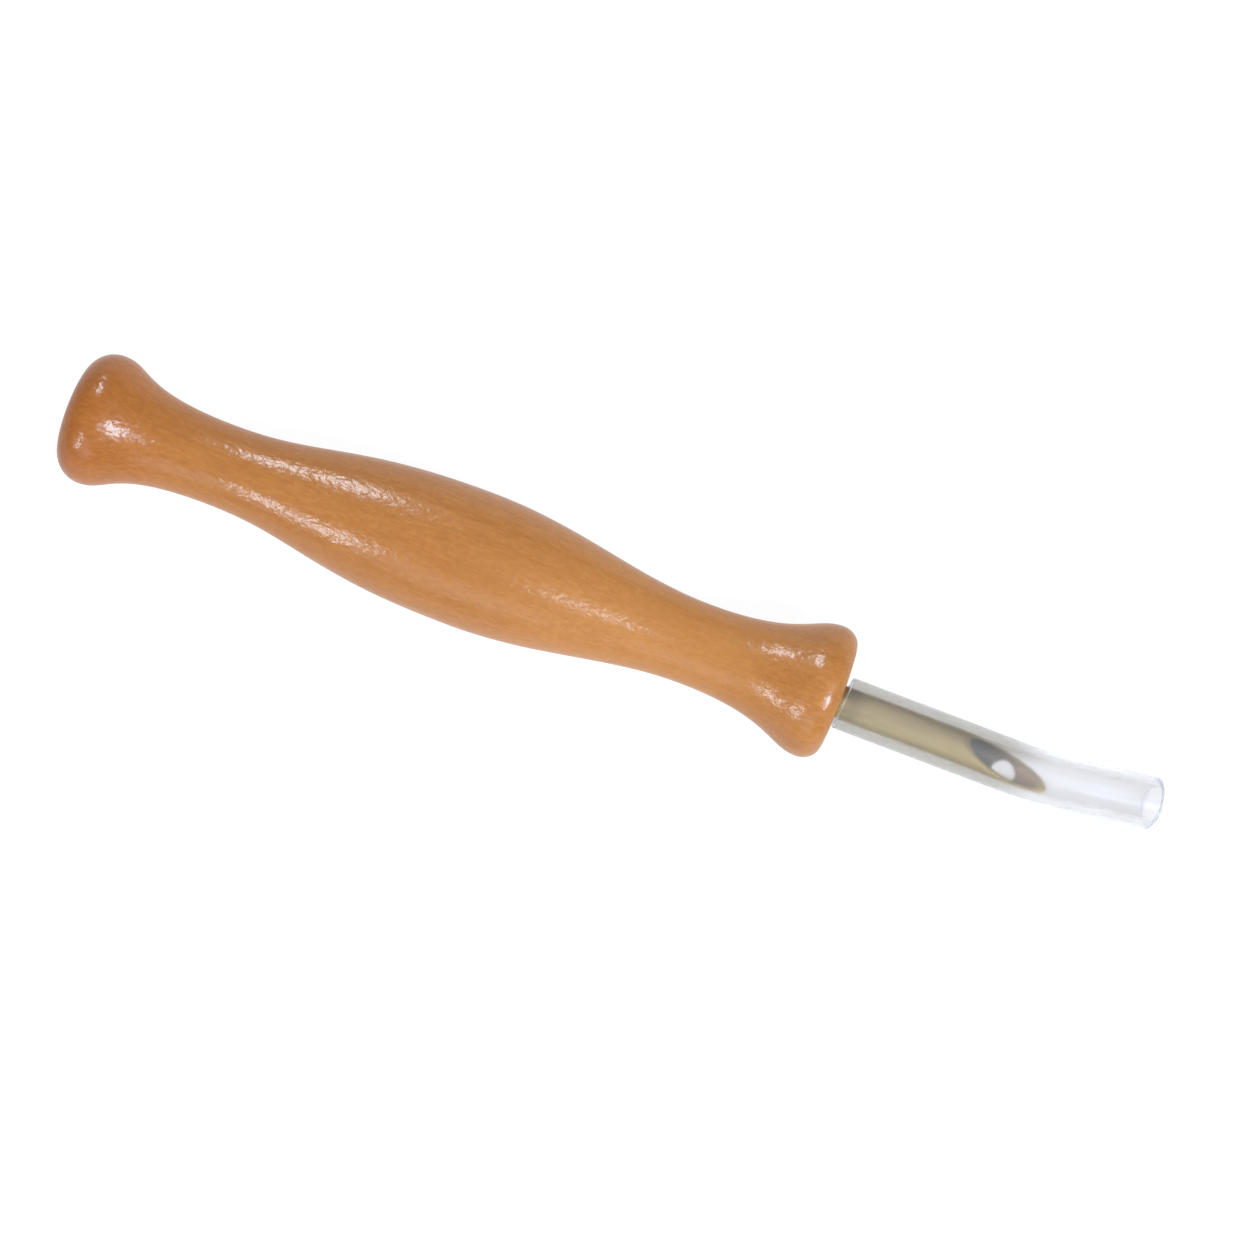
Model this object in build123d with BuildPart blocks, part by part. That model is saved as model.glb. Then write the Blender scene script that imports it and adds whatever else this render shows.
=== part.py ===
from build123d import *
import os
from math import cos, radians, sin, tan

# A punch needle for rug and embroidery loops: a turned wooden handle, a hollow bevelled
# needle pressed into it, and a clear flexible sheath pushed over the needle.
# Millimetres. The tool lies on its side: +X runs from the butt to the tip and +Z is up.
# The origin is under the middle of the tool, on the surface that it lies on.
# Stations named *_X are measured along the tool from the butt face.

# Where the tool lies
BUTT_X = -85.15
AXIS_Z = 10.3

# Handle: crests, necks and bulge of the turned outline
HANDLE_L = 120.0
BUTT_CREST_X = 4.3
BUTT_CREST_R = 10.0
REAR_NECK_X = 22.7
REAR_NECK_R = 6.18
BULGE_X = 62.3
BULGE_R = 10.3
FRONT_NECK_X = 97.5
FRONT_NECK_R = 6.27
FRONT_CREST_X = 117.1
FRONT_CREST_R = 10.22
FRONT_EDGE_DROP = 2.4

# Handle: how far each crest, neck and bulge carries its level tangent before it turns
BUTT_CREST_REACH = 4.3
REAR_NECK_REACH = (14.6, 14.2)
BULGE_REACH = (22.3, 14.1)
FRONT_NECK_REACH = (11.9, 14.1)
FRONT_CREST_REACH = 4.3

# Handle: the hole for the yarn and the socket for the needle, drilled a little off centre
DRILL_Y = -0.4
YARN_BORE_R = 1.75
INLET_CHAMFER = 0.5
SOCKET_DEPTH = 26.0
SOCKET_CHAMFER = 0.25

# Needle tube
NEEDLE_R = 2.5
NEEDLE_BORE_R = 2.0
NEEDLE_TIP_X = 153.7
BEVEL_ANGLE = 18.7
BEVEL_ROLL = 36.0
EYE_X = 146.8
EYE_R = 1.85

# Sheath
SHEATH_R = 4.0
SHEATH_BORE_R = 2.6
MOUTH_X = 120.9
MOUTH_SKEW = 4.0
BEND_X = 147.5
BEND_ANGLE = 12.5
BEND_RADIUS = 43.9
BEND_ROLL = 37.0
END_X = 170.2
END_TILT = 16.5
END_SKEW = 4.7


def along(station, y=0.0, z=0.0):
    """The row-frame point at a station along the tool, y and z off the handle's axis."""
    return (BUTT_X + station, y, AXIS_Z + z)


handle_axis = Axis(along(0.0), (1, 0, 0))
outline_plane = Plane(origin=along(0.0), x_dir=(1, 0, 0), z_dir=(0, -1, 0))
butt_drill_plane = Plane(origin=along(0.0, DRILL_Y), x_dir=(0, 1, 0), z_dir=(1, 0, 0))
front_drill_plane = Plane(origin=along(HANDLE_L, DRILL_Y), x_dir=(0, 1, 0), z_dir=(-1, 0, 0))

# Handle: the outline turned about its axis
with BuildPart() as handle:
    with BuildSketch(outline_plane):
        with BuildLine():
            Line((0, 0), (0, BUTT_CREST_R - BUTT_CREST_X))
            CenterArc((BUTT_CREST_X, BUTT_CREST_R - BUTT_CREST_X), BUTT_CREST_X, 180, -90)
            Bezier(
                (BUTT_CREST_X, BUTT_CREST_R),
                (BUTT_CREST_X + BUTT_CREST_REACH, BUTT_CREST_R),
                (REAR_NECK_X - REAR_NECK_REACH[0], REAR_NECK_R),
                (REAR_NECK_X, REAR_NECK_R),
            )
            Bezier(
                (REAR_NECK_X, REAR_NECK_R),
                (REAR_NECK_X + REAR_NECK_REACH[1], REAR_NECK_R),
                (BULGE_X - BULGE_REACH[0], BULGE_R),
                (BULGE_X, BULGE_R),
            )
            Bezier(
                (BULGE_X, BULGE_R),
                (BULGE_X + BULGE_REACH[1], BULGE_R),
                (FRONT_NECK_X - FRONT_NECK_REACH[0], FRONT_NECK_R),
                (FRONT_NECK_X, FRONT_NECK_R),
            )
            Bezier(
                (FRONT_NECK_X, FRONT_NECK_R),
                (FRONT_NECK_X + FRONT_NECK_REACH[1], FRONT_NECK_R),
                (FRONT_CREST_X - FRONT_CREST_REACH, FRONT_CREST_R),
                (FRONT_CREST_X, FRONT_CREST_R),
            )
            EllipticalCenterArc(
                (FRONT_CREST_X, FRONT_CREST_R - FRONT_EDGE_DROP),
                HANDLE_L - FRONT_CREST_X,
                FRONT_EDGE_DROP,
                start_angle=0,
                arc_size=90,
            )
            Line((HANDLE_L, FRONT_CREST_R - FRONT_EDGE_DROP), (HANDLE_L, 0))
            Line((HANDLE_L, 0), (0, 0))
        make_face()
    revolve(axis=handle_axis)
    # The yarn's hole runs the whole way through.
    with BuildSketch(butt_drill_plane):
        Circle(YARN_BORE_R)
    extrude(amount=HANDLE_L, mode=Mode.SUBTRACT)
    # The socket takes the needle's shank.
    with BuildSketch(front_drill_plane):
        Circle(NEEDLE_R)
    extrude(amount=SOCKET_DEPTH, mode=Mode.SUBTRACT)
    butt_face = handle.faces().sort_by(Axis.X)[0]
    chamfer(butt_face.edges().sort_by(SortBy.LENGTH)[0], INLET_CHAMFER)
    front_face = handle.faces().filter_by(Axis.X).sort_by(Axis.X)[-1]
    chamfer(front_face.edges().sort_by(SortBy.LENGTH)[0], SOCKET_CHAMFER)

# Needle: a tube cut by one sloping plane, with a round eye drilled through the wall behind the cut.
# The cut faces up and BEVEL_ROLL degrees towards +Y.
heel_y = sin(radians(BEVEL_ROLL))
heel_z = cos(radians(BEVEL_ROLL))
bevel_middle_x = NEEDLE_TIP_X - NEEDLE_R / tan(radians(BEVEL_ANGLE))
bevel_plane = Plane(
    origin=along(bevel_middle_x, DRILL_Y),
    z_dir=(
        sin(radians(BEVEL_ANGLE)),
        heel_y * cos(radians(BEVEL_ANGLE)),
        heel_z * cos(radians(BEVEL_ANGLE)),
    ),
)
eye_plane = Plane(origin=along(EYE_X, DRILL_Y), x_dir=(1, 0, 0), z_dir=(0, -heel_y, -heel_z))
shank_plane = Plane(
    origin=along(HANDLE_L - SOCKET_DEPTH, DRILL_Y), x_dir=(0, 1, 0), z_dir=(1, 0, 0)
)

with BuildPart() as needle_tube:
    with BuildSketch(shank_plane):
        Circle(NEEDLE_R)
        Circle(NEEDLE_BORE_R, mode=Mode.SUBTRACT)
    extrude(amount=NEEDLE_TIP_X - HANDLE_L + SOCKET_DEPTH + 1.0)
    split(bisect_by=bevel_plane, keep=Keep.BOTTOM)
    with BuildSketch(eye_plane):
        Circle(EYE_R)
    extrude(amount=2.0 * NEEDLE_R, mode=Mode.SUBTRACT)

# Sheath: straight over the needle, then bent down and BEND_ROLL degrees towards +Y.
bend_y = sin(radians(BEND_ROLL))
bend_z = -cos(radians(BEND_ROLL))
sheath_plane = Plane(origin=along(0.0, DRILL_Y), x_dir=(1, 0, 0), z_dir=(0, -bend_z, bend_y))
sheath_start = Plane(origin=along(MOUTH_X - 1.0, DRILL_Y), x_dir=(0, 1, 0), z_dir=(1, 0, 0))
mouth_plane = Plane(
    origin=along(MOUTH_X, DRILL_Y),
    z_dir=(-cos(radians(MOUTH_SKEW)), sin(radians(MOUTH_SKEW)), 0),
)
end_plane = Plane(
    origin=along(END_X, DRILL_Y),
    z_dir=(
        cos(radians(END_TILT)) * cos(radians(END_SKEW)),
        cos(radians(END_TILT)) * sin(radians(END_SKEW)),
        -sin(radians(END_TILT)),
    ),
)

with BuildPart() as sheath:
    with BuildLine(sheath_plane) as sheath_path:
        straight = Line((MOUTH_X - 1.0, 0), (BEND_X, 0))
        bend = JernArc(straight @ 1, straight % 1, BEND_RADIUS, BEND_ANGLE)
        PolarLine(bend @ 1, 20.0, direction=bend % 1)
    with BuildSketch(sheath_start):
        Circle(SHEATH_R)
        Circle(SHEATH_BORE_R, mode=Mode.SUBTRACT)
    sweep(path=sheath_path.wires()[0])
    split(bisect_by=mouth_plane, keep=Keep.BOTTOM)
    split(bisect_by=end_plane, keep=Keep.BOTTOM)

os.makedirs("parts", exist_ok=True)
handle.part.label = "handle"
export_step(handle.part, "parts/handle.step")
needle_tube.part.label = "needle_tube"
export_step(needle_tube.part, "parts/needle_tube.step")
sheath.part.label = "sheath"
export_step(sheath.part, "parts/sheath.step")
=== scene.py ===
from math import asin, cos, pi, radians, sin, tan

import bmesh
import bpy
import numpy as np
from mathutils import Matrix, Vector, noise
from mathutils.geometry import delaunay_2d_cdt


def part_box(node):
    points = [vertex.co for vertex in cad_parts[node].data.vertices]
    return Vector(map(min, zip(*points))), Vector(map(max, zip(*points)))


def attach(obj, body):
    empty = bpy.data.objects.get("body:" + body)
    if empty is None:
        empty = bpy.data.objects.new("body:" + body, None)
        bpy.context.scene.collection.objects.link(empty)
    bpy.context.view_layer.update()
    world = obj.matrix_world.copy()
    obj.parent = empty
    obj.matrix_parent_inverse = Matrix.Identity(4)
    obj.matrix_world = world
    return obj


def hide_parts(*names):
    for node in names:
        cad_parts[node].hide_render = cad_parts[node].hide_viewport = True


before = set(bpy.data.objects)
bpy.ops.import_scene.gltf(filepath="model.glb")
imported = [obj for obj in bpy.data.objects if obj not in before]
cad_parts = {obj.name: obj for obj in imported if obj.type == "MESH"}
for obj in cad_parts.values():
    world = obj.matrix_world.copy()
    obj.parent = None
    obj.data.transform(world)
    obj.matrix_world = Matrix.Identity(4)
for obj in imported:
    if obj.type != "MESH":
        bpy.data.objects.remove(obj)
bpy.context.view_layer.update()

# Lengths are in millimetres until MM turns them into metres, apart from the studio's, in metres.
# Stations run along the tool from the handle's butt face; y and z are off the handle's axis.
MM = 0.001
HANDLE_LOW, HANDLE_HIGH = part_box("handle")
BUTT = Vector((
    HANDLE_LOW.x,
    (HANDLE_LOW.y + HANDLE_HIGH.y) / 2,
    (HANDLE_LOW.z + HANDLE_HIGH.z) / 2,
)) / MM

# Handle outline, as the CAD part has it: (station, radius, reach behind, reach ahead)
OUTLINE_KNOTS = [
    (4.3, 10.0, 0.0, 4.3),
    (22.7, 6.18, 14.6, 14.2),
    (62.3, 10.3, 22.3, 14.1),
    (97.5, 6.27, 11.9, 14.1),
    (117.1, 10.22, 4.3, 0.0),
]
FRONT_EDGE_DROP = 2.4
HANDLE_L = 120.0
DRILL_Y = -0.4
YARN_BORE_R = 1.75
SOCKET_X = 94.0

# Handle edges that are round here, where the CAD part has chamfers of the same size
INLET_ROUND = 0.5
SOCKET_ROUND = 0.25

# Handle mesh: rings along the faces, the rounded edges, each stretch of the outline and the bores
HANDLE_STEPS_ROUND = 224
BUTT_FACE_RINGS = 14
BUTT_EDGE_RINGS = 26
OUTLINE_RINGS = (90, 130, 120, 90)
FRONT_EDGE_RINGS = 22
FRONT_FACE_RINGS = 16
SOCKET_ROUND_RINGS = 7
SOCKET_STATIONS = (119.0, 112.0, 103.0, SOCKET_X + 0.1, SOCKET_X + 0.01)
SHOULDER_EDGE = 0.05
YARN_BORE_RINGS = 40
YARN_BORE_END_X = 2.0
INLET_ROUND_RINGS = 9

# Waver left by hand sanding: its depth, where it begins and is full, and its noise scale per mm
SANDING_DEPTH = 0.07
SANDING_FREE_R = 4.0
SANDING_FULL_R = 7.0
SANDING_SCALE = (0.09, 0.12)

# Needle, as the CAD part has it
NEEDLE_R = 2.5
NEEDLE_BORE_R = 2.0
NEEDLE_TIP_X = 153.7
BEVEL_ANGLE = 18.7
BEVEL_ROLL = 36.0
EYE_X = 146.8
EYE_R = 1.85
NEEDLE_EDGE_ROUND = 0.06
BORE_EDGE_ROUND = NEEDLE_EDGE_ROUND * 0.7

# Needle mesh: the cut end is triangulated, and the straight shank behind JOIN_X is made of rings
NEEDLE_STEPS_ROUND = 120
EYE_STEPS = 64
RIM_RINGS = 5
JOIN_X = 136.0
SHANK_STATIONS = (JOIN_X - 2.0, 130.0, 121.0, 110.0, SOCKET_X + 0.3)
SHANK_END_X = SOCKET_X + 0.02
SHANK_END_EDGE = 0.1

# Points inside the triangulated end: their pitch along and stagger round it, in mesh steps, and
# their least distance from the cut and the eye, in pitches
INNER_PITCH = 1.6
INNER_STAGGER = 0.9
CUT_GAP = 1.2
EYE_GAP = 0.7

# Sheath, as the CAD part has it
SHEATH_R = 4.0
SHEATH_BORE_R = 2.6
MOUTH_X = 120.9
MOUTH_SKEW = 4.0
BEND_X = 147.5
BEND_ANGLE = 12.5
BEND_RADIUS = 43.9
BEND_ROLL = 37.0
END_X = 170.2
END_TILT = 16.5
END_SKEW = 4.7
LIP_ROUND = 0.16

# Sheath mesh
SHEATH_STEPS_ROUND = 128
SHEATH_STEPS_ALONG = 110
LIP_ANGLES = (22.5, 45.0, 67.5, 90.0)


# ---------------------------------------------------------------- mesh helpers

def in_row_frame(points):
    """Points as (station, y, z) in mm, moved to the row frame in metres."""
    return (np.asarray(points, float).reshape(-1, 3) + np.array(BUTT)) * MM


def add_piece(name, points, faces, body, material):
    """A mesh piece from points as (station, y, z) in mm, riding on a CAD body."""
    mesh = bpy.data.meshes.new(name)
    mesh.from_pydata(in_row_frame(points).tolist(), [], faces)
    mesh.validate()
    bm = bmesh.new()
    bm.from_mesh(mesh)
    bmesh.ops.remove_doubles(bm, verts=bm.verts, dist=1e-7)
    bmesh.ops.recalc_face_normals(bm, faces=bm.faces)
    for face in bm.faces:
        face.smooth = True
    bm.to_mesh(mesh)
    bm.free()
    mesh.materials.append(material)
    piece = bpy.data.objects.new(name, mesh)
    bpy.context.scene.collection.objects.link(piece)
    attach(piece, body)
    return piece


def ring_faces(rings, steps):
    """Quads between rings of equal point count, with the last ring joined to the first."""
    faces = []
    for i in range(rings):
        a = i * steps
        b = ((i + 1) % rings) * steps
        for k in range(steps):
            n = (k + 1) % steps
            faces.append((a + k, a + n, b + n, b + k))
    return faces


def quarter(cx, cr, reach, drop, start, end, count):
    """Points (station, radius) on a quarter ellipse about (cx, cr); angles in degrees from +station."""
    angles = np.radians(np.linspace(start, end, count))
    return [(cx + reach * cos(a), cr + drop * sin(a)) for a in angles]


def level_bezier(a, b, count):
    """The outline between two knots, level at both, as the CAD part draws it."""
    x0, r0, _, reach0 = a
    x1, r1, reach1, _ = b
    points = []
    for u in np.linspace(0, 1, count):
        v = 1 - u
        x = v**3 * x0 + 3 * v * v * u * (x0 + reach0) + 3 * v * u * u * (x1 - reach1) + u**3 * x1
        r = (v**3 + 3 * v * v * u) * r0 + (3 * v * u * u + u**3) * r1
        points.append((x, r))
    return points


# ---------------------------------------------------------------- node helpers

class Nodes:
    """A material's node tree, with short calls for the nodes used here."""

    def __init__(self, name):
        self.material = bpy.data.materials.new(name)
        self.material.use_nodes = True
        self.tree = self.material.node_tree
        self.tree.nodes.clear()
        self.output = self.tree.nodes.new("ShaderNodeOutputMaterial")

    def add(self, kind, **settings):
        node = self.tree.nodes.new(kind)
        for key, value in settings.items():
            setattr(node, key, value)
        return node

    def put(self, value, socket):
        """Links an output to a socket, or sets the socket's own value."""
        if isinstance(value, bpy.types.NodeSocket):
            self.tree.links.new(value, socket)
        else:
            socket.default_value = value

    def coordinates(self, scale, rotation=(0, 0, 0)):
        """Object coordinates in mm, stretched by scale."""
        source = self.add("ShaderNodeTexCoord")
        mapping = self.add("ShaderNodeMapping")
        self.put(source.outputs["Object"], mapping.inputs["Vector"])
        mapping.inputs["Scale"].default_value = [s / MM for s in scale]
        mapping.inputs["Rotation"].default_value = [radians(r) for r in rotation]
        return mapping.outputs["Vector"]

    def place(self, rotation=(0, 0, 0)):
        """Object coordinates in mm, as separate X, Y and Z outputs."""
        split = self.add("ShaderNodeSeparateXYZ")
        self.put(self.coordinates((1, 1, 1), rotation), split.inputs[0])
        return split.outputs

    def station(self):
        """Distance in mm along the tool from the butt face."""
        return self.math("SUBTRACT", self.place()["X"], BUTT.x)

    def off_axis(self, y, z):
        """Distance in mm from a line along X, at y and z of the row frame in mm."""
        place = self.place()
        across = self.math("SUBTRACT", place["Y"], y)
        up = self.math("SUBTRACT", place["Z"], z)
        squares = self.math("ADD", self.math("POWER", across, 2.0), self.math("POWER", up, 2.0))
        return self.math("SQRT", squares)

    def noise(self, vector, detail=2.0, roughness=0.5):
        """Noise whose size is set by the vector's stretch."""
        node = self.add("ShaderNodeTexNoise")
        self.put(vector, node.inputs["Vector"])
        node.inputs["Scale"].default_value = 1.0
        node.inputs["Detail"].default_value = detail
        node.inputs["Roughness"].default_value = roughness
        return node.outputs["Fac"]

    def math(self, operation, a, b=0.0):
        node = self.add("ShaderNodeMath", operation=operation)
        self.put(a, node.inputs[0])
        self.put(b, node.inputs[1])
        return node.outputs[0]

    def band(self, value, low, high, to_low=0.0, to_high=1.0):
        """value moved smoothly from low..high to to_low..to_high."""
        node = self.add("ShaderNodeMapRange", interpolation_type="SMOOTHSTEP")
        self.put(value, node.inputs["Value"])
        node.inputs["From Min"].default_value = low
        node.inputs["From Max"].default_value = high
        node.inputs["To Min"].default_value = to_low
        node.inputs["To Max"].default_value = to_high
        return node.outputs["Result"]

    def mix(self, factor, a, b, blend="MIX"):
        node = self.add("ShaderNodeMix", data_type="RGBA", blend_type=blend)
        self.put(factor, node.inputs[0])
        self.put(a, node.inputs[6])
        self.put(b, node.inputs[7])
        return node.outputs[2]

    def bump(self, height, distance, strength=1.0, normal=None):
        node = self.add("ShaderNodeBump")
        self.put(height, node.inputs["Height"])
        node.inputs["Distance"].default_value = distance * MM
        node.inputs["Strength"].default_value = strength
        if normal is not None:
            self.put(normal, node.inputs["Normal"])
        return node.outputs["Normal"]

    def principled(self, **inputs):
        node = self.add("ShaderNodeBsdfPrincipled")
        for key, value in inputs.items():
            self.put(value, node.inputs[key.replace("_", " ")])
        self.put(node.outputs[0], self.output.inputs["Surface"])


def srgb(r, g, b):
    """A colour given as 0 to 255 sRGB, as the linear RGBA that sockets take."""
    linear = []
    for c in (r, g, b):
        c = c / 255
        linear.append(c / 12.92 if c <= 0.04045 else ((c + 0.055) / 1.055) ** 2.4)
    return (*linear, 1.0)


# ---------------------------------------------------------------- materials

def lacquered_wood():
    n = Nodes("lacquered_wood")
    layer_pitch = 1.9
    layer_wander = 17.0
    # The next two set the painted shade at the butt end: how far its edge wanders along the handle, and
    # its darkening tint.
    shade_edge_wander = 30.0
    butt_shade = (0.84, 0.66, 0.44, 1.0)
    # Growth layers, which run nearly along the handle and wander a little.
    wander = n.noise(n.coordinates((0.018, 0.11, 0.11)), detail=3.0, roughness=0.55)
    layer_axis = n.place((38, 0, 1.5))["Y"]
    across = n.math("MULTIPLY", layer_axis, layer_pitch)
    phase = n.math("ADD", across, n.math("MULTIPLY", wander, layer_wander))
    layers = n.math("ADD", n.math("MULTIPLY", n.math("SINE", phase), 0.5), 0.5)
    # Fibres and pores, much longer than they are wide.
    fibres = n.noise(n.coordinates((0.35, 2.2, 2.2)), detail=4.0, roughness=0.6)
    pores = n.band(n.noise(n.coordinates((0.8, 4.0, 4.0)), detail=2.0), 0.64, 0.74)
    stain_and_shade = n.noise(n.coordinates((0.045, 0.07, 0.07)), detail=2.0)
    mottle = n.noise(n.coordinates((0.9, 1.5, 1.5)), detail=3.0, roughness=0.7)
    colour = n.mix(n.band(layers, 0.1, 0.95), srgb(173, 108, 51), srgb(166, 102, 45))
    colour = n.mix(n.band(fibres, 0.32, 0.7), colour, srgb(179, 116, 58))
    colour = n.mix(n.band(stain_and_shade, 0.35, 0.65, 0.0, 0.4), colour, srgb(159, 96, 41))
    colour = n.mix(n.band(mottle, 0.3, 0.7, 0.0, 0.4), colour, srgb(149, 88, 41))
    # The butt end is darkened with painted shade, and the stretch in front of the bulge is brightened
    # with painted light.
    along = n.math("ADD", n.station(), n.math("MULTIPLY", stain_and_shade, shade_edge_wander))
    butt = n.band(along, 8.0, 44.0, 1.0, 0.0)
    colour = n.mix(butt, colour, butt_shade, "MULTIPLY")
    bulge_front = n.band(along, 70.0, 105.0)
    lit_front = n.math("MULTIPLY", bulge_front, n.band(along, 118.0, 128.0, 1.0, 0.0))
    colour = n.mix(n.math("MULTIPLY", lit_front, 0.3), colour, srgb(189, 127, 68))
    colour = n.mix(n.math("MULTIPLY", pores, 0.2), colour, srgb(120, 68, 32))
    # The lacquer follows the pores and has a fine orange peel.
    peel = n.noise(n.coordinates((0.9, 1.2, 1.2)), detail=1.5, roughness=0.5)
    film = n.bump(peel, 0.095, 1.0)
    film = n.bump(pores, -0.01, 1.0, film)
    n.principled(
        Base_Color=colour,
        Roughness=n.band(fibres, 0.3, 0.7, 0.5, 0.62),
        Specular_IOR_Level=0.1,
        Normal=n.bump(fibres, 0.015, 0.6, film),
        Coat_Weight=0.54,
        Coat_Roughness=0.23,
        Coat_IOR=1.5,
        Coat_Normal=film,
    )
    return n.material


def needle_steel():
    n = Nodes("needle_steel")
    drawn = n.noise(n.coordinates((0.05, 7.0, 7.0)), detail=3.0, roughness=0.6)
    cloud = n.noise(n.coordinates((0.25, 0.5, 0.5)), detail=3.0, roughness=0.6)
    specks = n.band(n.noise(n.coordinates((3.0, 5.0, 5.0)), detail=2.0), 0.68, 0.76)
    colour = n.mix(n.band(cloud, 0.3, 0.7), srgb(150, 127, 84), srgb(141, 119, 78))
    # Painted light: the needle's side towards -Y is lighter and yellower.
    axis_y = BUTT.y + DRILL_Y
    lit_side = n.band(n.place()["Y"], axis_y - 2.2, axis_y - 0.2, 1.0, 0.0)
    colour = n.mix(lit_side, colour, srgb(168, 145, 85))
    colour = n.mix(n.math("MULTIPLY", specks, 0.3), colour, srgb(112, 94, 66))
    # The bore is dull from the drawing of the tube. Its colour is darker, and grows paler towards the
    # tip.
    off_axis = n.off_axis(axis_y, BUTT.z)
    inside = n.band(off_axis, NEEDLE_BORE_R + 0.03, NEEDLE_BORE_R + 0.2, 1.0, 0.0)
    paler_to_tip = n.band(n.station(), 142.0, 151.0)
    colour = n.mix(inside, colour, n.mix(paler_to_tip, srgb(106, 93, 78), srgb(145, 119, 92)))
    duller = n.math("MULTIPLY", inside, 0.05)
    roughness = n.math("ADD", n.band(drawn, 0.25, 0.75, 0.7, 0.8), duller)
    n.principled(
        Base_Color=colour,
        Metallic=1.0,
        Roughness=roughness,
        Normal=n.bump(drawn, 0.005, 0.6),
    )
    return n.material


def clear_pvc():
    n = Nodes("clear_pvc")
    drawn = n.noise(n.coordinates((0.04, 0.9, 0.9)), detail=2.0)
    lumps = n.noise(n.coordinates((0.22, 0.3, 0.3)), detail=2.0)
    surface = n.bump(drawn, 0.012, 0.6)
    surface = n.bump(lumps, 0.035, 0.5, surface)
    # The knife leaves both ends a little cloudy.
    facing = n.add("ShaderNodeSeparateXYZ")
    n.put(n.add("ShaderNodeNewGeometry").outputs["Normal"], facing.inputs[0])
    cut = n.band(n.math("ABSOLUTE", facing.outputs["X"]), 0.3, 0.7)
    # Over the needle the wall is greyer towards its sides, with painted shade standing in for the
    # darker surroundings and the needle seen through it.
    edge_on = n.add("ShaderNodeLayerWeight").outputs["Facing"]
    over_needle = n.band(n.station(), 145.0, 154.0, 1.0, 0.0)
    wall = n.math("MULTIPLY", n.band(edge_on, 0.05, 0.3), n.band(edge_on, 0.35, 0.75, 1.0, 0.4))
    painted_edge_shade = n.math("MULTIPLY", wall, over_needle)
    colour = n.mix(painted_edge_shade, srgb(229, 226, 225), srgb(179, 173, 162))
    # Clear of the needle the sides are only a touch paler, with painted light.
    clear_of_needle = n.math("SUBTRACT", 1.0, over_needle)
    rim = n.math("MULTIPLY", n.band(edge_on, 0.24, 0.45), clear_of_needle)
    colour = n.mix(rim, colour, srgb(231, 228, 228))
    n.principled(
        Base_Color=n.mix(cut, colour, srgb(208, 205, 214)),
        Roughness=n.band(cut, 0.0, 1.0, 0.2, 0.5),
        IOR=1.5,
        Specular_Tint=(0.06, 0.06, 0.06, 1.0),
        Transmission_Weight=0.95,
        Normal=surface,
    )
    return n.material


def floor_paper():
    n = Nodes("floor_paper")
    tooth = n.noise(n.coordinates((0.4, 0.4, 0.4)), detail=3.0)
    # Mostly its own light, so that the tool's shadows on it stay faint.
    n.principled(
        Base_Color=n.mix(n.band(tooth, 0.3, 0.7), (0.11, 0.11, 0.11, 1), (0.1, 0.1, 0.1, 1)),
        Roughness=0.9,
        Specular_IOR_Level=0.1,
        Emission_Color=(1.0, 1.0, 1.0, 1.0),
        Emission_Strength=0.93,
    )
    return n.material


# ---------------------------------------------------------------- handle

def handle_rings():
    """Rings (station, centre y, radius) round the solid: face, outline, face, socket, yarn hole."""
    butt_edge_r = OUTLINE_KNOTS[0][0]
    butt_flat_r = OUTLINE_KNOTS[0][1] - butt_edge_r
    front_crest_x, front_crest_r = OUTLINE_KNOTS[-1][:2]
    front_flat_r = front_crest_r - FRONT_EDGE_DROP
    inlet_r = YARN_BORE_R + INLET_ROUND
    socket_r = NEEDLE_R + SOCKET_ROUND
    rings = []
    # Butt face, from the yarn hole out
    for u in np.linspace(0, 1, BUTT_FACE_RINGS)[:-1]:
        rings.append((0.0, DRILL_Y * (1 - u), inlet_r + (butt_flat_r - inlet_r) * u))
    outline = quarter(
        butt_edge_r, butt_flat_r, butt_edge_r, butt_edge_r, 180, 90, BUTT_EDGE_RINGS
    )[:-1]
    for a, b, count in zip(OUTLINE_KNOTS, OUTLINE_KNOTS[1:], OUTLINE_RINGS):
        outline += level_bezier(a, b, count)[:-1]
    reach = HANDLE_L - front_crest_x
    outline += quarter(
        front_crest_x, front_flat_r, reach, FRONT_EDGE_DROP, 90, 0, FRONT_EDGE_RINGS
    )
    rings += [(x, 0.0, r) for x, r in outline]
    # Front face, in to the socket
    for u in np.linspace(0, 1, FRONT_FACE_RINGS)[1:]:
        rings.append((HANDLE_L, DRILL_Y * u, front_flat_r + (socket_r - front_flat_r) * u))
    # Socket, shoulder and yarn hole, back to the butt
    mouth = quarter(
        HANDLE_L - SOCKET_ROUND, socket_r, -SOCKET_ROUND, -SOCKET_ROUND, 180, 90, SOCKET_ROUND_RINGS
    )
    rings += [(x, DRILL_Y, r) for x, r in mouth[1:]]
    for x in SOCKET_STATIONS:
        rings.append((x, DRILL_Y, NEEDLE_R))
    for r in (NEEDLE_R - SHOULDER_EDGE, YARN_BORE_R + SHOULDER_EDGE):
        rings.append((SOCKET_X, DRILL_Y, r))
    for x in np.linspace(SOCKET_X - SHOULDER_EDGE, YARN_BORE_END_X, YARN_BORE_RINGS):
        rings.append((x, DRILL_Y, YARN_BORE_R))
    inlet = quarter(INLET_ROUND, inlet_r, -INLET_ROUND, -INLET_ROUND, 90, 0, INLET_ROUND_RINGS)
    rings += [(x, DRILL_Y, r) for x, r in inlet[:-1]]
    return rings


def turned_by_hand(x, angle, radius):
    """How far, in mm, the sanded surface sits under the true outline. The bores stay true."""
    along, across = SANDING_SCALE
    p = Vector((x * along, radius * sin(angle) * across, radius * cos(angle) * across))
    waver = noise.noise(p) * 0.5 + 0.5
    reach = (radius - SANDING_FREE_R) / (SANDING_FULL_R - SANDING_FREE_R)
    return SANDING_DEPTH * waver * min(1.0, max(0.0, reach))


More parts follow.
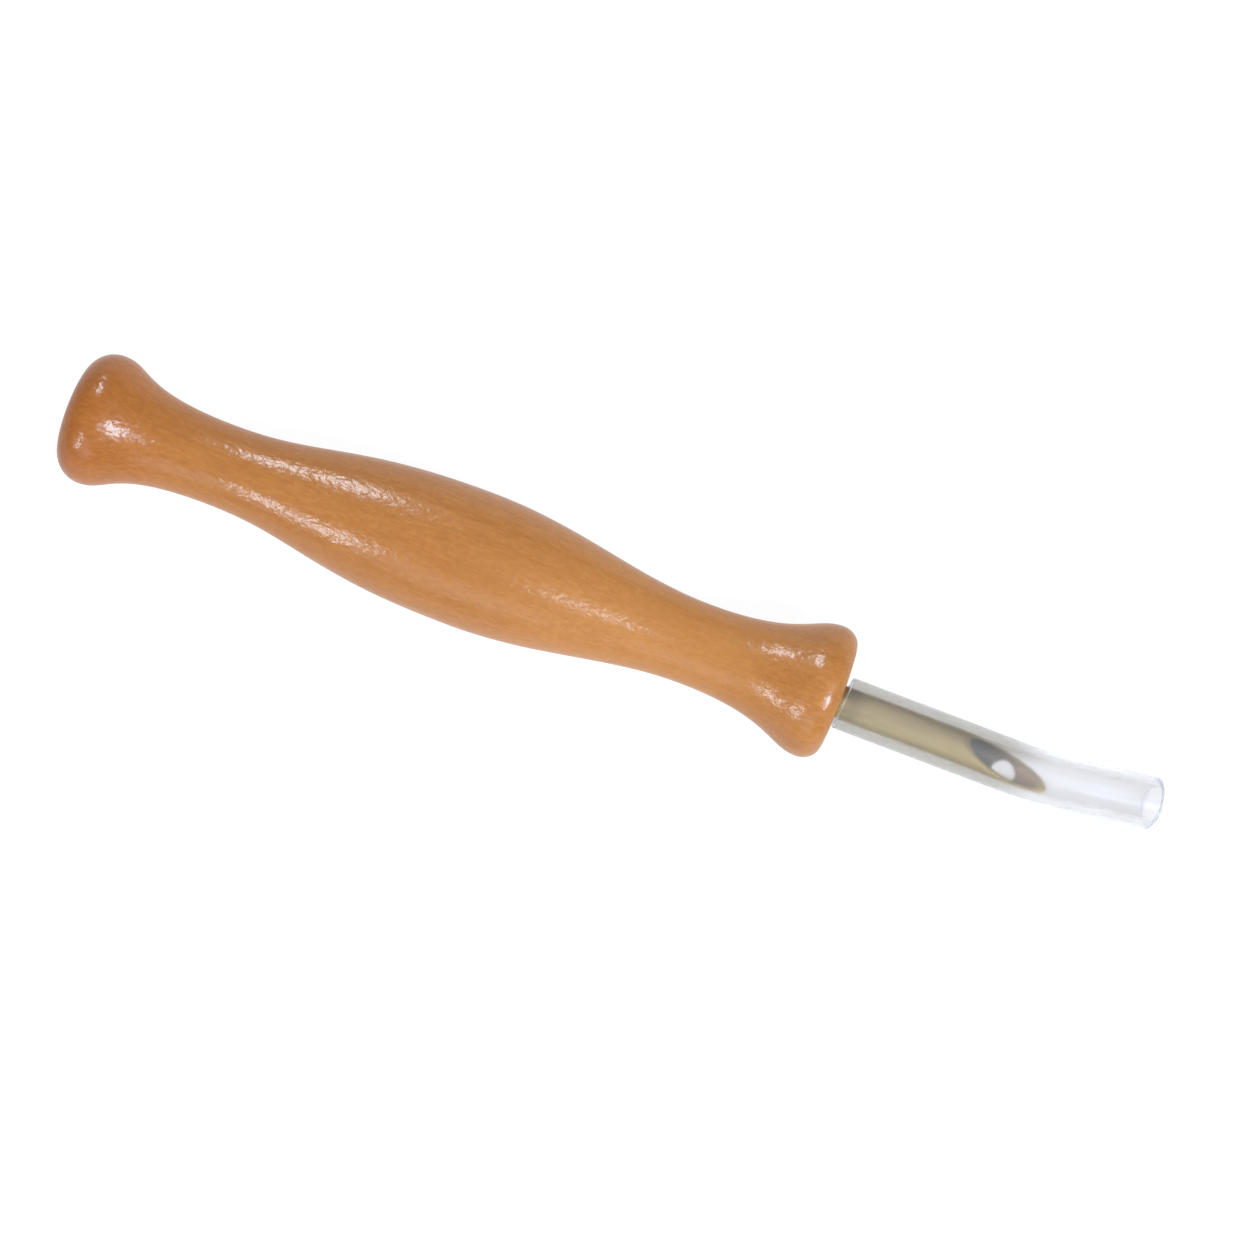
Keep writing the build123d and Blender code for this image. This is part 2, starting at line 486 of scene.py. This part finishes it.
def build_handle(material):
    rings = handle_rings()
    steps = HANDLE_STEPS_ROUND
    points = []
    for x, cy, r in rings:
        for k in range(steps):
            angle = 2 * pi * k / steps
            rr = r - turned_by_hand(x, angle, r)
            points.append((x, cy + rr * sin(angle), rr * cos(angle)))
    faces = ring_faces(len(rings), steps)
    piece = add_piece("wooden_handle", points, faces, "tool", material)
    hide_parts("handle")


# ---------------------------------------------------------------- needle

BEVEL_COT = 1 / tan(radians(BEVEL_ANGLE))
BEVEL_X = NEEDLE_TIP_X - NEEDLE_R * BEVEL_COT
TIP_TURN = radians(BEVEL_ROLL) + pi
# Turns round the needle from its heel, with the seam there doubled, and round the eye
TURNS = [-pi + 2 * pi * k / NEEDLE_STEPS_ROUND for k in range(NEEDLE_STEPS_ROUND + 1)]
EYE_TURNS = [2 * pi * k / EYE_STEPS for k in range(EYE_STEPS)]


def on_needle(x, turn, r):
    """A point on the needle. turn is measured round the needle from the tip's side."""
    angle = TIP_TURN + turn
    return (x, DRILL_Y + r * sin(angle), r * cos(angle))


def cut_x(turn, r):
    """The station where the sloping cut meets radius r."""
    return BEVEL_X + r * BEVEL_COT * cos(turn)


def eye_point(t, hole_r, r):
    """(station, turn) on the eye's rim of radius hole_r, at radius r of the needle."""
    return EYE_X + hole_r * cos(t), asin(hole_r * sin(t) / r)


def near_eye(x, turn, r, reach):
    """Whether a point on the tip's side lies within reach of the eye's centre."""
    return cos(turn) > 0 and np.hypot(x - EYE_X, r * sin(turn)) < reach


def surface_outline(r, back, eye_r):
    """The unrolled skin's rims, as 2-D points, their edges, and the numbers of each rim's points."""
    flat = [Vector((cut_x(t, r) - back, r * t)) for t in TURNS]
    for t in EYE_TURNS:
        x, turn = eye_point(t, eye_r, r)
        flat.append(Vector((x, r * turn)))
    flat += [Vector((JOIN_X, r * t)) for t in TURNS]
    cut_rim = list(range(len(TURNS)))
    eye_rim = list(range(len(TURNS), len(TURNS) + EYE_STEPS))
    base_rim = list(range(len(TURNS) + EYE_STEPS, len(flat)))
    edges = list(zip(cut_rim, cut_rim[1:]))
    edges += list(zip(base_rim, base_rim[1:]))
    edges += list(zip(eye_rim, eye_rim[1:] + eye_rim[:1]))
    return flat, edges, (cut_rim, eye_rim, base_rim)


def inner_points(r, back, eye_r):
    """Points spread over the unrolled skin, clear of the cut and the eye."""
    step = 2 * pi / NEEDLE_STEPS_ROUND
    pitch = r * step * INNER_PITCH
    points = []
    x = JOIN_X + pitch
    row = 0
    while x < BEVEL_X + r * BEVEL_COT:
        stagger = (row % 2) * INNER_STAGGER
        for k in range(1, NEEDLE_STEPS_ROUND // 2):
            turn = -pi + (2 * k + stagger) * step
            clear_of_cut = cut_x(turn, r) - back - x > pitch * CUT_GAP
            if clear_of_cut and not near_eye(x, turn, r, eye_r + pitch * EYE_GAP):
                points.append(Vector((x, r * turn)))
        x += pitch
        row += 1
    return points


def needle_surface(r, back, eye_r):
    """One skin of the needle from JOIN_X to the cut: points, triangles and the three rims.

    back is how far the skin stops short of the cut. The seam at the heel is doubled."""
    flat, edges, rims = surface_outline(r, back, eye_r)
    flat += inner_points(r, back, eye_r)
    verts, _, tris, origins, _, _ = delaunay_2d_cdt(flat, edges, [], 0, 1e-9)
    where = {}
    for i, source in enumerate(origins):
        for number in source:
            where[number] = i
    points = [(v.x, v.y / r) for v in verts]
    kept = []
    for tri in tris:
        x = sum(verts[i].x for i in tri) / 3
        turn = sum(verts[i].y for i in tri) / 3 / r
        past_cut = x > cut_x(turn, r) - back + 1e-4
        if not past_cut and not near_eye(x, turn, r, eye_r - 1e-3):
            kept.append(tuple(tri))
    return points, kept, [[where[i] for i in rim] for rim in rims]


class NeedleMesh:
    """Points and faces of the needle, added ring by ring."""

    def __init__(self):
        self.points = []
        self.faces = []

    def ring(self, samples):
        """Adds points (station, turn, radius) and returns their numbers."""
        first = len(self.points)
        self.points.extend(on_needle(*sample) for sample in samples)
        return list(range(first, len(self.points)))

    def strip(self, a, b, closed):
        """Quads between two rings of equal point count."""
        count = len(a) if closed else len(a) - 1
        for k in range(count):
            n = (k + 1) % len(a)
            self.faces.append((a[k], a[n], b[n], b[k]))

    def skin(self, r):
        """Adds the cut end's skin at radius r and returns its cut, eye and base rims."""
        flat, tris, rims = needle_surface(r, NEEDLE_EDGE_ROUND, EYE_R + NEEDLE_EDGE_ROUND)
        first = len(self.points)
        self.points.extend(on_needle(x, turn, r) for x, turn in flat)
        self.faces.extend(tuple(first + i for i in tri) for tri in tris)
        return [[first + i for i in rim] for rim in rims]

    def bridge(self, start, rings, end, closed):
        """Joins start through each list of samples in rings to end."""
        last = start
        for samples in rings:
            now = self.ring(samples)
            self.strip(last, now, closed)
            last = now
        self.strip(last, end, closed)


def build_needle(material):
    mesh = NeedleMesh()
    outer_cut, outer_eye, outer_base = mesh.skin(NEEDLE_R)
    inner_cut, inner_eye, inner_base = mesh.skin(NEEDLE_BORE_R)
    # The ground face of the cut and the eye's wall, with their edges just broken
    radii = np.linspace(NEEDLE_R - NEEDLE_EDGE_ROUND, NEEDLE_BORE_R + BORE_EDGE_ROUND, RIM_RINGS)
    mesh.bridge(outer_cut, [[(cut_x(t, r), t, r) for t in TURNS] for r in radii], inner_cut, False)
    eye_rings = [[(*eye_point(t, EYE_R, r), r) for t in EYE_TURNS] for r in radii]
    mesh.bridge(outer_eye, eye_rings, inner_eye, True)
    # The straight shank, out to its end and back through the bore
    shank = [(x, NEEDLE_R) for x in SHANK_STATIONS]
    shank += [(SHANK_END_X, NEEDLE_R - SHANK_END_EDGE), (SHANK_END_X, NEEDLE_BORE_R + SHANK_END_EDGE)]
    shank += [(x, NEEDLE_BORE_R) for x in reversed(SHANK_STATIONS)]
    mesh.bridge(outer_base, [[(x, t, r) for t in TURNS] for x, r in shank], inner_base, False)
    piece = add_piece("hollow_needle", mesh.points, mesh.faces, "tool", material)
    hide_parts("needle_tube")


# ---------------------------------------------------------------- sheath

BEND_SIDE = Vector((0, sin(radians(BEND_ROLL)), -cos(radians(BEND_ROLL))))
BEND_CROSS = Vector((0, cos(radians(BEND_ROLL)), sin(radians(BEND_ROLL))))
BEND_LENGTH = BEND_RADIUS * radians(BEND_ANGLE)
# Where the wall is drawn thinner, over what reach, and by what share
OVAL_X = 154.5
OVAL_REACH = 5.0
OVAL_DEPTH = 0.045


def sheath_line(s):
    """Centre, direction and bend-side direction at distance s from the butt face."""
    start = Vector((0, DRILL_Y, 0))
    along = Vector((1, 0, 0))
    if s <= BEND_X:
        return start + along * s, along, BEND_SIDE
    turn = min(s - BEND_X, BEND_LENGTH) / BEND_RADIUS
    direction = along * cos(turn) + BEND_SIDE * sin(turn)
    side = BEND_SIDE * cos(turn) - along * sin(turn)
    centre = start + along * (BEND_X + BEND_RADIUS * sin(turn))
    centre += BEND_SIDE * BEND_RADIUS * (1 - cos(turn))
    beyond = s - BEND_X - BEND_LENGTH
    if beyond > 0:
        centre += direction * beyond
    return centre, direction, side


def sheath_point(s, angle, r):
    """A point on the sheath, whose wall is drawn thinner at both sides where it bends."""
    centre, _, side = sheath_line(s)
    off = (side * cos(angle) + BEND_CROSS * sin(angle)) * r
    outside = (r - SHEATH_BORE_R) / (SHEATH_R - SHEATH_BORE_R)
    off.y *= 1 - OVAL_DEPTH * outside * np.exp(-((s - OVAL_X) / OVAL_REACH) ** 2)
    return centre + off


def length_to_plane(s, angle, r, origin, normal):
    """The distance along the sheath where the line at this angle and radius meets a plane."""
    point = sheath_point(s, angle, r)
    _, direction, _ = sheath_line(s)
    return s + (origin - point).dot(normal) / direction.dot(normal)


MOUTH_ORIGIN = Vector((MOUTH_X, DRILL_Y, 0))
MOUTH_NORMAL = Vector((-cos(radians(MOUTH_SKEW)), sin(radians(MOUTH_SKEW)), 0))
END_ORIGIN = Vector((END_X, DRILL_Y, 0))
END_NORMAL = Vector((
    cos(radians(END_TILT)) * cos(radians(END_SKEW)),
    cos(radians(END_TILT)) * sin(radians(END_SKEW)),
    -sin(radians(END_TILT)),
))


def sheath_ring(r, inset, share):
    """One ring of the sheath, at a share of the way from the mouth to the free end."""
    points = []
    for k in range(SHEATH_STEPS_ROUND):
        angle = 2 * pi * k / SHEATH_STEPS_ROUND
        a = length_to_plane(MOUTH_X, angle, r, MOUTH_ORIGIN, MOUTH_NORMAL) + inset
        b = length_to_plane(END_X, angle, r, END_ORIGIN, END_NORMAL) - inset
        points.append(tuple(sheath_point(a + (b - a) * share, angle, r)))
    return points


def build_sheath(material):
    shares = np.linspace(0, 1, SHEATH_STEPS_ALONG)
    corner = [(1 - cos(a), 1 - sin(a)) for a in np.radians(LIP_ANGLES)]
    # Along the outside, round the free end, back through the bore, and round the mouth
    rings = [(SHEATH_R, 1, share) for share in shares]
    rings += [(SHEATH_R - LIP_ROUND * inward, back, 1) for inward, back in corner]
    rings += [(SHEATH_BORE_R + LIP_ROUND * inward, back, 1) for inward, back in reversed(corner)]
    rings += [(SHEATH_BORE_R, 1, share) for share in shares[::-1]]
    rings += [(SHEATH_BORE_R + LIP_ROUND * inward, back, 0) for inward, back in corner]
    rings += [(SHEATH_R - LIP_ROUND * inward, back, 0) for inward, back in reversed(corner)]
    points = []
    for r, back, share in rings:
        points += sheath_ring(r, LIP_ROUND * back, share)
    faces = ring_faces(len(rings), SHEATH_STEPS_ROUND)
    piece = add_piece("clear_sheath", points, faces, "sheath", material)
    piece.visible_shadow = False
    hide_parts("sheath")


# ---------------------------------------------------------------- studio

CAMERA_AT = Vector((BUTT.x + 86.19, -0.7, BUTT.z + 456.0)) * MM
CAMERA_ROLL = 20.71
CAMERA_ANGLE = 22.65
FLOOR_SIZE = 4.0
FLOOR_STEPS = 24
WORLD_STRENGTH = 0.25
COOL = (0.86, 1.0, 1.14)
COOLER = (0.82, 1.0, 1.21)
# name, azimuth, elevation, distance in m, width, height, brightness, colour
LIGHTS = [
    ("softbox_upper_left", 120.2, 33.4, 0.665, 0.085, 0.205, 36.8, COOL),
    ("softbox_lower_left", -124.0, 35.5, 0.55, 0.066, 0.2, 30.5, COOL),
    ("softbox_right", -13, 49.5, 0.75, 0.215, 0.2, 39.0, COOLER),
    ("softbox_top", -26, 66.3, 1.5, 0.22, 0.08, 54.0, COOLER),
    ("card", -88, 30, 1.2, 0.6, 0.7, 2.0, COOL),
]


def build_floor(material):
    count = FLOOR_STEPS
    points = []
    for i in range(count + 1):
        for j in range(count + 1):
            points.append(((i / count - 0.5) * FLOOR_SIZE, (j / count - 0.5) * FLOOR_SIZE, 0.0))
    faces = []
    for i in range(count):
        for j in range(count):
            a = i * (count + 1) + j
            faces.append((a, a + count + 1, a + count + 2, a + 1))
    mesh = bpy.data.meshes.new("floor")
    mesh.from_pydata(points, [], faces)
    mesh.materials.append(material)
    floor = bpy.data.objects.new("floor", mesh)
    bpy.context.scene.collection.objects.link(floor)


def softbox(name, azimuth, elevation, distance, width, height, brightness, colour):
    """An area light in the direction azimuth (from +X towards +Y) and elevation, aimed at the tool.

    Its brightness is in units of a surface that shows as white, and colour tints it."""
    data = bpy.data.lights.new(name, "AREA")
    data.shape = "RECTANGLE"
    data.size = width
    data.size_y = height
    data.energy = pi * width * height * brightness
    data.color = colour
    light = bpy.data.objects.new(name, data)
    a = radians(azimuth)
    e = radians(elevation)
    light.location = Vector((cos(a) * cos(e), sin(a) * cos(e), sin(e))) * distance
    light.rotation_euler = (-light.location).to_track_quat("-Z", "Y").to_euler()
    bpy.context.scene.collection.objects.link(light)


def build_studio():
    build_floor(floor_paper())
    for light in LIGHTS:
        softbox(*light)
    world = bpy.data.worlds.new("studio")
    world.use_nodes = True
    background = world.node_tree.nodes["Background"]
    background.inputs["Color"].default_value = (1.0, 1.0, 1.0, 1.0)
    background.inputs["Strength"].default_value = WORLD_STRENGTH
    scene = bpy.context.scene
    scene.world = world
    scene.view_settings.view_transform = "Standard"
    camera = bpy.data.objects.new("camera", bpy.data.cameras.new("camera"))
    camera.location = CAMERA_AT
    camera.rotation_euler = (0, 0, radians(CAMERA_ROLL))
    camera.data.angle = radians(CAMERA_ANGLE)
    camera.data.clip_start = 0.01
    camera.data.clip_end = 20.0
    scene.collection.objects.link(camera)
    scene.camera = camera


build_handle(lacquered_wood())
build_needle(needle_steel())
build_sheath(clear_pvc())
build_studio()
